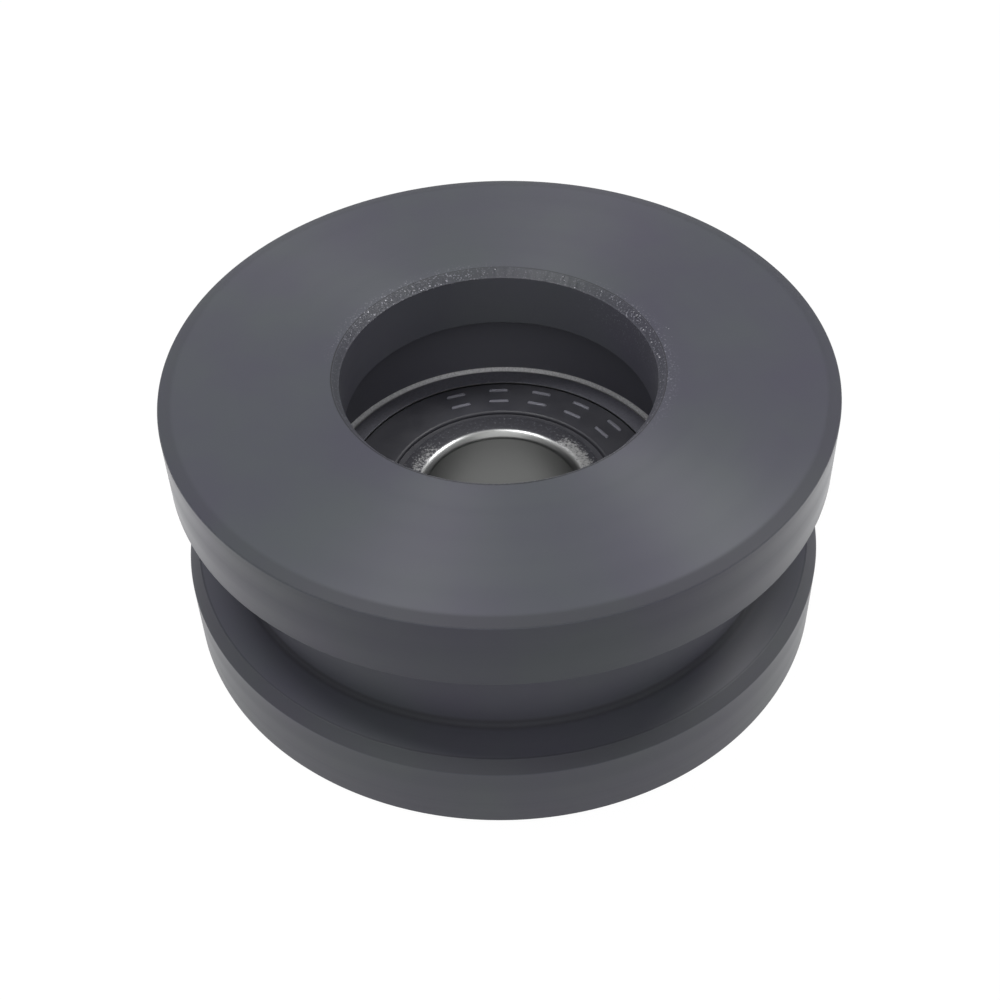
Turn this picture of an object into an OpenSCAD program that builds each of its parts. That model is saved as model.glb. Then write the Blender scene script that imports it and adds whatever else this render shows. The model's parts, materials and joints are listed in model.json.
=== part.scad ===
// Grooved wheel, turned from black plastic, with a sealed ball bearing pressed into it.
// The axle runs along Z. The origin is the middle of the wheel, half way between its two flat ends.
// Above the bearing, a wide recess narrows to an inward lip, which leaves room for the nut of the axle.

/* [Wheel] */
// Outside diameter of the two rims
wheel_d = 70; // [66:0.5:90]
// Width of the wheel from end to end
wheel_w = 30; // [28:0.5:40]
// Width of the shallow slope that takes the edge off each end face
edge_slope_w = 1.1; // [0.5:0.1:2]
// How far that slope falls, out to the rim
edge_slope_h = 0.2; // [0.1:0.05:0.6]

/* [Groove round the rim] */
// Width between the two side walls
groove_w = 11.9; // [6:0.1:14]
// Depth from the rims down to the floor
groove_depth = 5.3; // [3:0.1:7]
// Chamfer where each side wall meets its rim
groove_chamfer = 1.1; // [0.3:0.1:2]
// Radius in the corner between the floor and a side wall
groove_fillet = 0.4; // [0.2:0.1:1]

/* [Hole through the wheel] */
// Diameter of the mouth inside the lip
mouth_d = 33; // [26:0.5:36]
// Chamfer round the mouth, on the end face
mouth_chamfer = 0.7; // [0.3:0.1:2]
// Thickness of the inward lip
lip_t = 7.2; // [4:0.1:9]
// Broken edge on the underside of the lip
lip_edge = 0.3; // [0.1:0.1:0.6]
// How much wider in radius the hole is above the seat of the bearing
bore_relief = 0.35; // [0.1:0.05:0.6]
// Distance from the bearing's upper face down to the top end of its seat
seat_drop = 0.5; // [0.2:0.1:0.7]
// Chamfer that leads the bearing into its seat
seat_lead = 0.8; // [0.3:0.1:1]
// Depth of the bearing inside the lower end face
bearing_inset = 1.3; // [1.1:0.1:3]

/* [Bearing rings] */
// Outside diameter of the bearing, which is also its seat in the wheel
bearing_od = 40; // [38.5:0.5:43]
// Bore of the bearing, which takes the axle
bearing_bore = 17; // [15.5:0.5:18.5]
// Width of both rings
bearing_w = 12; // [11:0.5:14]
// Rounded corner of the outer ring
outer_corner = 0.8; // [0.4:0.1:1]
// Chamfer at each end of the bore
bore_chamfer = 0.7; // [0.3:0.1:1]
// Depth of the ball track in the inner ring
inner_track_depth = 1.375; // [1.2:0.025:1.6]
// Depth of the ball track in the outer ring
outer_track_depth = 1.125; // [0.9:0.025:1.3]
// Broken edge on the faces and shoulders of both rings
edge_break = 0.15; // [0.05:0.05:0.2]

/* [Balls and cage] */
// Diameter of a ball
ball_d = 6.75; // [6:0.05:7.1]
// Track radius as a share of the ball diameter
track_ratio = 0.52; // [0.515:0.005:0.54]
// Clearance between a ball and each track
track_gap = 0.02; // [0.01:0.01:0.03]
// Clearance between a ball and its pocket
pocket_gap = 0.1; // [0.05:0.01:0.15]
// Thickness of the cage's pressed strip
cage_t = 0.6; // [0.4:0.05:0.7]
// Clearance between the cage and the shoulder of each ring
cage_gap = 0.45; // [0.3:0.05:0.7]
// Diameter of a rivet's shank
rivet_d = 1.1; // [0.8:0.05:1.3]
// Diameter of a rivet's round head
rivet_head_d = 1.9; // [1.6:0.05:2.1]
// Height of a rivet's round head
rivet_head_h = 0.45; // [0.3:0.05:0.6]

/* [Seals] */
// Depth of the seal below the face of the rings
seal_inset = 0.25; // [0.1:0.05:0.4]
// Depth of the ledge that carries the seal's rim, below the face
seal_ledge = 1.25; // [1.1:0.05:1.4]
// Width of that ledge on the outer ring
seal_ledge_w = 1; // [0.7:0.05:1.2]
// How far the seal's bead reaches into the groove of the outer ring
bead_reach = 0.25; // [0.15:0.05:0.35]
// Height of the bead
bead_h = 0.7; // [0.5:0.05:0.8]
// Thickness of the seal's web
seal_t = 0.75; // [0.6:0.05:0.8]
// Width of the thinner lip at the inner edge of the seal
seal_lip_w = 0.9; // [0.6:0.05:1.1]
// Depth of the lip's upper side below the face
seal_lip_top = 0.7; // [0.5:0.05:0.9]
// Depth of the step that the lip runs in, below the face
lip_step = 1.6; // [1.5:0.05:1.8]
// Height of that step's wall, from the shoulder down to the seat of the lip
lip_step_in = 0.75; // [0.5:0.05:0.9]
// Running clearance round the lip
lip_gap = 0.1; // [0.05:0.01:0.15]

/* [Hidden] */
$fn = 128;

wheel_r = wheel_d / 2;
end_z = wheel_w / 2;
floor_r = wheel_r - groove_depth;
wall_z = groove_w / 2;
mouth_r = mouth_d / 2;
lip_z = end_z - lip_t;

// The bearing is drawn round its own middle plane and then moved down into the wheel.
seat_r = bearing_od / 2;
bore_r = bearing_bore / 2;
face_z = bearing_w / 2;
bearing_z = bearing_inset + face_z - end_z;
relief_r = seat_r + bore_relief;
seat_end_z = bearing_z + face_z - seat_drop;

// One ball is needed for each ball node.
ball_count = 8;
ball_step = 360 / ball_count;
ball_r = ball_d / 2;
pitch_r = (seat_r + bore_r) / 2;
track_r = ball_d * track_ratio;
inner_shoulder_r = pitch_r - ball_r + inner_track_depth;
outer_shoulder_r = pitch_r + ball_r - outer_track_depth;
// The tracks' arcs are centred a little to either side of the pitch circle.
inner_track_x = pitch_r - ball_r - track_gap + track_r;
outer_track_x = pitch_r + ball_r + track_gap - track_r;

pocket_r = ball_r + pocket_gap;
pocket_outer_r = pocket_r + cage_t;
cage_r_in = inner_shoulder_r + cage_gap;
cage_r_out = outer_shoulder_r - cage_gap;

recess_r = outer_shoulder_r + seal_ledge_w;
bead_r = recess_r + bead_reach;
ledge_z = face_z - seal_ledge;
seal_top_z = face_z - seal_inset;
seal_under_z = seal_top_z - seal_t;
step_r = inner_shoulder_r - lip_step_in;
step_z = face_z - lip_step;
lip_r = step_r + lip_gap;
web_r = lip_r + seal_lip_w;

// Upper corners of the inner ring's section, from its shoulder round to its bore.
inner_ring_upper = [
    [inner_shoulder_r, step_z - edge_break],
    [inner_shoulder_r - edge_break, step_z],
    [step_r, step_z],
    [step_r, face_z - edge_break],
    [step_r - edge_break, face_z],
    [bore_r + bore_chamfer, face_z],
    [bore_r, face_z - bore_chamfer]];

// The same corners below the middle plane, in the order that closes the outline.
function mirrored(points) = [for (i = [len(points) - 1 : -1 : 0]) [points[i][0], -points[i][1]]];

plastic = [0.32, 0.32, 0.34];
ring_steel = [0.62, 0.63, 0.64];
ball_steel = [0.82, 0.83, 0.84];
strip_steel = [0.66, 0.65, 0.62];
rubber = [0.16, 0.16, 0.18];

// A flat ring with square edges, from z_low to z_high.
module band(r_in, r_out, z_low, z_high) {
    rotate_extrude()
        translate([r_in, z_low])
            square([r_out - r_in, z_high - z_low]);
}

// Half section of a block whose outer two corners are rounded.
module rounded_outside(r_in, r_out, half_h, corner) {
    translate([r_in, -half_h])
        square([r_out - corner - r_in, 2 * half_h]);
    translate([r_in, corner - half_h])
        square([r_out - r_in, 2 * (half_h - corner)]);
    for (side = [-1, 1])
        translate([r_out - corner, side * (half_h - corner)])
            circle(r = corner);
}

// Half section of a block whose inner two corners are rounded.
module rounded_inside(r_in, r_out, half_h, corner) {
    translate([r_in + corner, -half_h])
        square([r_out - corner - r_in, 2 * half_h]);
    translate([r_in, corner - half_h])
        square([r_out - r_in, 2 * (half_h - corner)]);
    for (side = [-1, 1])
        translate([r_in + corner, side * (half_h - corner)])
            circle(r = corner);
}

// Puts a copy at each ball's place on the pitch circle, or half a step on, between the balls.
module at_pitch(shift = 0) {
    for (i = [0 : ball_count - 1])
        rotate([0, 0, (i + shift) * ball_step])
            translate([pitch_r, 0, 0])
                children();
}

module in_bearing() {
    translate([0, 0, bearing_z])
        children();
}

// The wheel is one turned piece: solid of revolution less its groove, with the stepped hole.
module wheel_body() {
    color(plastic)
        rotate_extrude()
            difference() {
                polygon([
                    [seat_r + seat_lead, -end_z],
                    [wheel_r - edge_slope_w, -end_z],
                    [wheel_r, edge_slope_h - end_z],
                    [wheel_r, end_z - edge_slope_h],
                    [wheel_r - edge_slope_w, end_z],
                    [mouth_r + mouth_chamfer, end_z],
                    [mouth_r, end_z - mouth_chamfer],
                    [mouth_r, lip_z + lip_edge],
                    [mouth_r + lip_edge, lip_z],
                    [relief_r, lip_z],
                    [relief_r, seat_end_z + bore_relief],
                    [seat_r, seat_end_z],
                    [seat_r, seat_lead - end_z]]);
                groove_section();
            }
}

// Square-shouldered groove with a filleted floor and chamfered shoulders.
module groove_section() {
    rounded_inside(floor_r, wheel_r + groove_chamfer, wall_z, groove_fillet);
    mouth_z = wall_z + groove_chamfer;
    polygon([
        [wheel_r - groove_chamfer, -wall_z],
        [wheel_r, -mouth_z],
        [wheel_r + groove_chamfer, -mouth_z],
        [wheel_r + groove_chamfer, mouth_z],
        [wheel_r, mouth_z],
        [wheel_r - groove_chamfer, wall_z]]);
}

// Outer ring: rounded outside corners, one ball track, and a grooved recess for a seal at each end.
// The edge where the recess opens on the face is broken.
module outer_ring() {
    color(ring_steel)
        in_bearing()
            rotate_extrude()
                difference() {
                    rounded_outside(outer_shoulder_r, seat_r, face_z, outer_corner);
                    translate([outer_track_x, 0])
                        circle(r = track_r);
                    for (side = [0, 1])
                        mirror([0, side])
                            seal_recess_section();
                }
}

module seal_recess_section() {
    translate([outer_shoulder_r - seal_ledge_w, ledge_z])
        square([2 * seal_ledge_w, 2 * seal_ledge]);
    translate([outer_shoulder_r, ledge_z])
        square([bead_r - outer_shoulder_r, bead_h]);
    polygon([
        [outer_shoulder_r, face_z - edge_break],
        [recess_r, face_z - edge_break],
        [recess_r + 2 * edge_break, face_z + edge_break],
        [outer_shoulder_r, face_z + edge_break]]);
}

// Inner ring: chamfered bore, one ball track, and a step at each end for the seal's lip.
module inner_ring() {
    color(ring_steel)
        in_bearing()
            rotate_extrude()
                difference() {
                    polygon(concat(inner_ring_upper, mirrored(inner_ring_upper)));
                    translate([inner_track_x, 0])
                        circle(r = track_r);
                }
}

module ball(number) {
    color(ball_steel)
        in_bearing()
            rotate([0, 0, (number - 1) * ball_step])
                translate([pitch_r, 0, 0])
                    sphere(r = ball_r);
}

// One half of the cage: a flat strip pressed into a round pocket over each ball.
// The two halves meet back to back on the bearing's middle plane.
module cage_half() {
    difference() {
        intersection() {
            union() {
                band(cage_r_in, cage_r_out, 0, cage_t);
                at_pitch()
                    sphere(r = pocket_outer_r);
            }
            band(cage_r_in, cage_r_out, 0, 2 * pocket_outer_r);
        }
        at_pitch()
            sphere(r = pocket_r);
        at_pitch(0.5)
            cylinder(d = rivet_d, h = 4 * cage_t, center = true);
    }
}

module cage_upper() {
    color(strip_steel)
        in_bearing()
            cage_half();
}

module cage_lower() {
    color(strip_steel)
        in_bearing()
            mirror([0, 0, 1])
                cage_half();
}

// Half section of a rivet: a shank through both strips, with a round head at each end.
module rivet_section() {
    head_ball_r = (pow(rivet_head_d / 2, 2) + pow(rivet_head_h, 2)) / (2 * rivet_head_h);
    translate([0, -cage_t])
        square([rivet_d / 2, 2 * cage_t]);
    for (side = [0, 1])
        mirror([0, side])
            intersection() {
                translate([0, cage_t + rivet_head_h - head_ball_r])
                    circle(r = head_ball_r);
                translate([0, cage_t])
                    square([rivet_head_d, rivet_head_h]);
            }
}

module cage_rivets() {
    color(strip_steel)
        in_bearing()
            at_pitch(0.5)
                rotate_extrude()
                    rivet_section();
}

// Rubber seal: a bead held in the outer ring, a flat web, and a thinner lip over the inner ring's step.
module seal() {
    bead_top_z = ledge_z + bead_h;
    web_edge_r = recess_r - (seal_top_z - bead_top_z);
    lip_top_z = face_z - seal_lip_top;
    rotate_extrude()
        polygon([
            [outer_shoulder_r, ledge_z],
            [bead_r, ledge_z],
            [bead_r, bead_top_z],
            [recess_r, bead_top_z],
            [web_edge_r, seal_top_z],
            [web_r, seal_top_z],
            [web_r, lip_top_z],
            [lip_r, lip_top_z],
            [lip_r, step_z + lip_gap],
            [web_r, step_z + lip_gap],
            [web_r + seal_lip_w, seal_under_z],
            [outer_shoulder_r - seal_ledge_w, seal_under_z]]);
}

module seal_upper() {
    color(rubber)
        in_bearing()
            seal();
}

module seal_lower() {
    color(rubber)
        in_bearing()
            mirror([0, 0, 1])
                seal();
}

wheel_body();
outer_ring();
inner_ring();
ball(1);  // ball_1
ball(2);  // ball_2
ball(3);  // ball_3
ball(4);  // ball_4
ball(5);  // ball_5
ball(6);  // ball_6
ball(7);  // ball_7
ball(8);  // ball_8
cage_upper();
cage_lower();
cage_rivets();
seal_upper();
seal_lower();
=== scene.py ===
# %% [markdown]
# # A grooved wheel with a ball bearing, and how to give it its looks
#
# The object is a guide wheel, turned from a bar of black cast nylon. A groove runs round its rim, a stepped
# hole runs through it, and a sealed ball bearing is pressed into that hole from below.
#
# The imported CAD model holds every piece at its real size. Here each visible piece is made again as a smooth
# mesh in the same place, and every piece gets a material that starts from what the real one is.

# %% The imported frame
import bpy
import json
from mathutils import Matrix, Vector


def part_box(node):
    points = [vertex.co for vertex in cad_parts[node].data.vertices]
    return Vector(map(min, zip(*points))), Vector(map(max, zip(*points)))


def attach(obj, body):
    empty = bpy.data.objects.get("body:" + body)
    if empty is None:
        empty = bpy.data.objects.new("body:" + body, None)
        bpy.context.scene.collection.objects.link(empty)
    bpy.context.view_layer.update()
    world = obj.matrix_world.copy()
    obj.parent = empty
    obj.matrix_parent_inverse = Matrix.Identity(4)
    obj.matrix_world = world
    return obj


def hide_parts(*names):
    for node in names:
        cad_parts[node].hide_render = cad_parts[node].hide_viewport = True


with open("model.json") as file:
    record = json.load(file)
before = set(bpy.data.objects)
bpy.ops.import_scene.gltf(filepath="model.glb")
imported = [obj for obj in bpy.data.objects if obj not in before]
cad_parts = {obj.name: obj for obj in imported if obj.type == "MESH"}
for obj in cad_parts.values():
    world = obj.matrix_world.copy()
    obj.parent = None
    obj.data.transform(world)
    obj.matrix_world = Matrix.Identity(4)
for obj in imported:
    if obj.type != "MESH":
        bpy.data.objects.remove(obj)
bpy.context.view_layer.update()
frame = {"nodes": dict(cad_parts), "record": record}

nodes = frame["nodes"]
print("nodes in the frame:", ", ".join(sorted(nodes)))

# %% [markdown]
# ## Helpers
#
# A few small ones carry the whole script. Sizes are written in millimetres, so `MM` turns them into metres.
# Colours are written as the hex values a paint program shows, and those are curved, while a shader works with
# straight amounts of light, so `linear` straightens them. `add_node` puts one node into any tree, and those
# after it do the same for a sum, a stretched vector and a soft step.

# %% Helpers for sizes, colours and nodes
import json
import math

import bmesh
import bpy
from mathutils import Euler, Quaternion, Vector

MM = 0.001


def linear(hex_colour):
    """A hex colour such as "#3a3a40" as linear red, green, blue and alpha."""
    curved = [int(hex_colour[i : i + 2], 16) / 255 for i in (1, 3, 5)]
    straight = [c / 12.92 if c <= 0.04045 else ((c + 0.055) / 1.055) ** 2.4 for c in curved]
    return (*straight, 1.0)


def add_node(tree, kind, inputs=None, **settings):
    """Adds a node. inputs gives each input, by name or index, a value or the output that it is linked to."""
    node = tree.nodes.new(kind)
    for name, value in settings.items():
        setattr(node, name, value)
    for key, value in (inputs or {}).items():
        if isinstance(value, bpy.types.NodeSocket):
            tree.links.new(value, node.inputs[key])
        else:
            node.inputs[key].default_value = value
    return node


def maths(tree, operation, first, *others):
    """A sum of numbers and outputs. Further values are taken in one after another."""
    for other in others or (0.0,):
        first = add_node(tree, "ShaderNodeMath", {0: first, 1: other}, operation=operation).outputs[0]
    return first


def product(tree, *values):
    return maths(tree, "MULTIPLY", *values)


def largest(tree, *values):
    return maths(tree, "MAXIMUM", *values)


def scaled(tree, vector, factor):
    return add_node(tree, "ShaderNodeVectorMath", {0: vector, "Scale": factor}, operation="SCALE").outputs[0]


def smooth_step(tree, value, start, end, low=0.0, high=1.0):
    """Runs softly from low to high while value goes from start to end."""
    return add_node(
        tree,
        "ShaderNodeMapRange",
        {0: value, 1: start, 2: end, 3: low, 4: high},
        interpolation_type="SMOOTHSTEP",
    ).outputs[0]


print("mid grey #808080 is", [round(c, 3) for c in linear("#808080")[:3]], "of white light")

# %% [markdown]
# ## Sizes
#
# A size that the frame knows is read from it, so that this script follows the CAD model. The boxes of the
# nodes give the big radii and heights, and the mounts give the bore, the middle of the bearing and the floor
# of the groove. Small sizes, such as chamfers, can't be read from a box and are named here.

# %% Sizes from the frame
mounts = {m["name"]: m for m in frame["record"]["mounts"]}
wheel_low, wheel_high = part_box("wheel_body")
ring_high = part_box("outer_ring")[1]
inner_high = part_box("inner_ring")[1]
seal_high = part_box("seal_upper")[1]
ball_low, ball_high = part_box("ball_1")

WHEEL_R = wheel_high.x
END_Z = wheel_high.z
FLOOR_R = mounts["rim_groove"]["pos_m"][0]
SEAT_R = ring_high.x
BORE_R = mounts["axle_bore"]["dims"]["r_mm"] * MM
BEARING_Z = mounts["axle_bore"]["pos_m"][2]
FACE_Z = ring_high.z - BEARING_Z
INNER_SHOULDER_R = inner_high.x
BALL_R = (ball_high.z - ball_low.z) / 2
PITCH_R = (ball_low.x + ball_high.x) / 2
BEAD_R = seal_high.x
SEAL_TOP = seal_high.z - BEARING_Z
for label, radius in (("wheel", WHEEL_R), ("bearing", SEAT_R), ("bore", BORE_R)):
    print(f"{label} {2 * radius / MM:.1f} mm across")

# %% Small sizes, in metres
# The wheel.
GROOVE_HALF = 5.95 * MM
GROOVE_CHAMFER = 1.1 * MM
GROOVE_FILLET = 0.4 * MM
EDGE_SLOPE_W = 1.1 * MM
EDGE_SLOPE_H = 0.2 * MM
MOUTH_R = 16.5 * MM
MOUTH_CHAMFER = 0.7 * MM
LIP_T = 7.2 * MM
LIP_EDGE = 0.3 * MM
SEAT_LEAD = 0.8 * MM
SEAT_DROP = 0.5 * MM
BORE_RELIEF = 0.35 * MM
MOUTH_EDGE = MOUTH_R + MOUTH_CHAMFER
# The bearing.
RING_CORNER = 0.8 * MM
BORE_CHAMFER = 0.7 * MM
RING_BREAK = 0.15 * MM
OUTER_SHOULDER_R = 16.5 * MM
RECESS_R = 17.5 * MM
LEDGE = 1.25 * MM
BEAD_H = 0.7 * MM
STEP_R = 11.5 * MM
STEP = 1.6 * MM
LIP_GAP = 0.1 * MM
WEB_R = 12.5 * MM
WEB_T = 0.75 * MM
SEAL_LIP_TOP = 0.7 * MM
TRACK_R = 3.51 * MM
TRACK_GAP = 0.02 * MM
print(f"groove {2 * GROOVE_HALF / MM:.1f} mm wide, mouth {2 * MOUTH_R / MM:.1f} mm across")

# %% [markdown]
# ## A lathe made of Geometry Nodes
#
# Every big piece here was turned on a lathe or moulded in a turned mould, so its shape follows one rule: a
# flat section is swept round the axis. Blender could do that with the Screw modifier or with Spin. A
# Geometry Nodes tree is chosen because it can also round each corner by its own radius first, and nick the
# edges a little afterwards, with every amount kept as a named input.
#
# The section comes in as a ring of vertices and edges. Each vertex carries three numbers: the radius of its
# corner, how far the nicks reach it, and how far it leans. Fillet Curve rounds the corners and Curve to Mesh
# sweeps the section along a circle. Set Position then pushes the surface in where a noise is high, and shifts
# what leans to one side, as when an edge is broken by hand and comes out wider there.

# %% The lathe tree
def new_tree(name, **inputs):
    """A geometry node group with a geometry in and out, a material, and the inputs listed by kind of socket.
    Returns the group, what it is given, and its end."""
    tree = bpy.data.node_groups.new(name, "GeometryNodeTree")
    tree.interface.new_socket("Geometry", in_out="INPUT", socket_type="NodeSocketGeometry")
    for kind, labels in {**inputs, "Material": ["Material"]}.items():
        for label in labels:
            tree.interface.new_socket(label, in_out="INPUT", socket_type="NodeSocket" + kind)
    tree.interface.new_socket("Geometry", in_out="OUTPUT", socket_type="NodeSocketGeometry")
    return tree, add_node(tree, "NodeGroupInput").outputs, add_node(tree, "NodeGroupOutput")


def close_tree(tree, given, end, geometry):
    """Ends a tree in Realize Instances and Set Material."""
    real = add_node(tree, "GeometryNodeRealizeInstances", {0: geometry})
    finished = add_node(
        tree, "GeometryNodeSetMaterial", {"Geometry": real.outputs[0], "Material": given["Material"]}
    )
    tree.links.new(finished.outputs[0], end.inputs[0])


def nicks_and_lean(tree, given, reach, leaning):
    """How far each point moves: inwards where a noise is high, and to one side where the section leans."""
    place = add_node(tree, "GeometryNodeInputPosition")
    noise = add_node(
        tree,
        "ShaderNodeTexNoise",
        {
            "Vector": place.outputs[0],
            "W": given["Seed"],
            "Scale": maths(tree, "DIVIDE", 1.0, given["Nick size"]),
            "Detail": 2.0,
        },
        noise_dimensions="4D",
    )
    peaks = smooth_step(tree, noise.outputs["Fac"], 0.5, 0.75, 0.0, -1.0)
    depth = product(tree, peaks, given["Nick depth"], reach)
    normal = add_node(tree, "GeometryNodeInputNormal")
    push = scaled(tree, normal.outputs[0], depth)
    lean = scaled(tree, given["Lean"], leaning)
    return add_node(tree, "ShaderNodeVectorMath", {0: push, 1: lean}).outputs[0]


def lathe_tree():
    tree, given, end = new_tree(
        "lathe",
        Float=["Path radius", "Nick depth", "Nick size", "Seed"],
        Int=["Segments", "Corner steps"],
        Vector=["Lean"],
    )
    corner, reach, leaning = [
        add_node(tree, "GeometryNodeInputNamedAttribute", {"Name": name}, data_type="FLOAT").outputs[0]
        for name in ("corner", "nicked", "leaning")
    ]
    section = add_node(tree, "GeometryNodeMeshToCurve", {0: given["Geometry"]})
    rounded = add_node(
        tree,
        "GeometryNodeFilletCurve",
        {
            "Curve": section.outputs[0],
            "Count": given["Corner steps"],
            "Radius": corner,
            "Limit Radius": True,
        },
        mode="POLY",
    )
    path = add_node(
        tree,
        "GeometryNodeCurvePrimitiveCircle",
        {"Resolution": given["Segments"], "Radius": given["Path radius"]},
    )
    swept = add_node(
        tree, "GeometryNodeCurveToMesh", {"Curve": path.outputs[0], "Profile Curve": rounded.outputs[0]}
    )

    moved = nicks_and_lean(tree, given, reach, leaning)
    nicked = add_node(tree, "GeometryNodeSetPosition", {"Geometry": swept.outputs[0], "Offset": moved})
    smooth = add_node(tree, "GeometryNodeSetShadeSmooth", {0: nicked.outputs[0]})
    close_tree(tree, given, end, smooth.outputs[0])
    return tree


LATHE = lathe_tree()
print("lathe tree:", len(LATHE.nodes), "nodes")

# %% [markdown]
# A modifier's inputs are set by the identifier of each socket, because two sockets may share a name. They are
# set before the object is first evaluated. The evaluated result is then copied into a plain mesh, which has
# no modifier left and can be exported as it is.

# %% Running a tree and keeping its mesh
def run_tree(holder, tree, values, keep_flat=False):
    """Runs a tree on an object and returns the result as a plain mesh. The holder is removed."""
    bpy.context.scene.collection.objects.link(holder)
    modifier = holder.modifiers.new(tree.name, "NODES")
    modifier.node_group = tree
    for item in tree.interface.items_tree:
        if item.in_out == "INPUT" and item.name in values:
            modifier[item.identifier] = values[item.name]
    if keep_flat:
        weighted = holder.modifiers.new("weighted normals", "WEIGHTED_NORMAL")
        weighted.mode = "FACE_AREA"
        weighted.weight = 100
    graph = bpy.context.evaluated_depsgraph_get()
    mesh = bpy.data.meshes.new_from_object(
        holder.evaluated_get(graph), preserve_all_data_layers=True, depsgraph=graph
    )
    bpy.data.objects.remove(holder)
    return mesh


def signed_volume(mesh):
    """The volume inside a closed mesh, in mm3. It is negative if the faces point inwards."""
    solid = bmesh.new()
    solid.from_mesh(mesh)
    volume = solid.calc_volume(signed=True) / MM**3
    solid.free()
    return volume


def add_piece(name, mesh, body, replaces=()):
    """Puts a finished mesh into the scene, hangs it on its body, and hides the CAD parts that it replaces."""
    mesh.name = name
    piece = bpy.data.objects.new(name, mesh)
    bpy.context.scene.collection.objects.link(piece)
    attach(piece, body)
    if replaces:
        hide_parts(*replaces)
    return piece


def turn(name, corners, material, centre_z=0.0, segments=384, corner_steps=4, **extra):
    """Turns a section into a mesh. Each corner is (radius, height, corner radius), and may have a share of
    the nicks and of the lean too. The corners run anticlockwise, with the axis on the left."""
    path_r = 10 * MM
    section = bpy.data.meshes.new(name + "_section")
    # Curve to Mesh lays the section's X outwards along the path and its Y downwards.
    points = [(r - path_r, -(z + centre_z), 0.0) for r, z, *_ in reversed(corners)]
    last = len(points) - 1
    section.from_pydata(points, [(i, i + 1) for i in range(last)] + [(last, 0)], [])
    for attribute, column in (("corner", 2), ("nicked", 3), ("leaning", 4)):
        layer = section.attributes.new(attribute, "FLOAT", "POINT")
        layer.data.foreach_set("value", [(*c, 0.0, 0.0)[column] for c in reversed(corners)])
    mesh = run_tree(
        bpy.data.objects.new(name + "_section", section),
        LATHE,
        {
            "Path radius": path_r,
            "Segments": segments,
            "Corner steps": corner_steps,
            "Nick depth": 0.0,
            "Nick size": MM,
            "Lean": (0.0, 0.0, 0.0),
            "Seed": 7.0,
            "Material": material,
            **extra,
        },
        keep_flat=True,
    )
    print(f"{name}: {len(mesh.polygons)} faces, {signed_volume(mesh):.0f} mm3")
    return mesh


# %% [markdown]
# ## Material: black cast nylon, lathe-turned
#
# Cast nylon is a hard, slightly waxy plastic. Carbon black makes it a dark, cold grey and never a true black,
# because the waxy surface always sends back some of the light round it. The lathe tool leaves one fine
# spiral groove, so the surface is rough across the groove and smoother along it. That is what draws soft
# rays of light out from the middle of a turned face. Three things give that here:
#
# - Anisotropic roughness, with its long axis turned a quarter to lie across the tool marks.
# - A fine bump that depends only on the distance from the axis and on the height, so it forms rings.
# - A faint, slow change in colour and roughness, as casting and handling leave.

# %% Rings round the axis
def object_place(tree):
    return add_node(tree, "ShaderNodeTexCoord").outputs["Object"]


def ring_place(tree, place):
    """A place that is the same all the way round a ring, then the distance from the axis and the height."""
    split = add_node(tree, "ShaderNodeSeparateXYZ", {0: place}).outputs
    flat = add_node(tree, "ShaderNodeCombineXYZ", {0: split[0], 1: split[1]})
    radius = add_node(tree, "ShaderNodeVectorMath", {0: flat.outputs[0]}, operation="LENGTH").outputs["Value"]
    rings = add_node(tree, "ShaderNodeCombineXYZ", {0: radius, 1: split[2]})
    return rings.outputs[0], radius, split[2]


def noise_at(tree, place, size, detail=2.0, roughness=0.5):
    """A noise whose bumps are about size metres across."""
    return add_node(
        tree,
        "ShaderNodeTexNoise",
        {"Vector": place, "Scale": 1 / size, "Detail": detail, "Roughness": roughness},
    ).outputs["Fac"]


def bump(tree, strength, depth, height, under=None):
    """Bends the shading by a height that goes depth metres up and down, on top of the bend under it."""
    inputs = {"Strength": strength, "Distance": depth, "Height": height}
    if under:
        inputs["Normal"] = under
    return add_node(tree, "ShaderNodeBump", inputs).outputs[0]


def spread(tree, value, low, high):
    """Stretches the middle of a noise, 0.3 to 0.7, to run from low to high."""
    return add_node(tree, "ShaderNodeMapRange", {0: value, 1: 0.3, 2: 0.7, 3: low, 4: high}).outputs[0]


def blend_colours(tree, factor, first, second):
    """Mixes two colours, given as hex values or as outputs."""
    pair = [linear(c) if isinstance(c, str) else c for c in (first, second)]
    return add_node(tree, "ShaderNodeMix", {0: factor, 6: pair[0], 7: pair[1]}, data_type="RGBA").outputs[2]


def start_material(name, inputs):
    """A new material with one Principled shader. inputs are set on the shader's own sockets."""
    material = bpy.data.materials.new(name)
    material.use_nodes = True
    tree = material.node_tree
    shader = tree.nodes["Principled BSDF"]
    for key, value in inputs.items():
        shader.inputs[key].default_value = value
    return material, tree, shader


def plug(tree, shader, **outputs):
    """Links outputs to the shader's sockets. An underscore in a socket's name stands for a space."""
    for name, output in outputs.items():
        tree.links.new(output, shader.inputs[name.replace("_", " ")])


print("places, noises and blends are ready")

# %% [markdown]
# ## Where a finish differs
#
# No real piece has one finish all over. Each area could be masked by hand, in vertex colours or in an image.
# Here it is a share from 0 to 1, worked out from the place itself: how far it is from the axis, how high it
# is, and which side of the wheel it is on. So it follows the sizes when they change, and never shows a seam.

# %% Bands and sides
def band(tree, value, start, end, soft=0.1 * MM):
    """1 while value is between start and end, and fading to 0 within soft on either side."""
    rise = smooth_step(tree, value, start - soft, start)
    return product(tree, rise, smooth_step(tree, value, end, end + soft, 1.0, 0.0))


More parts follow.
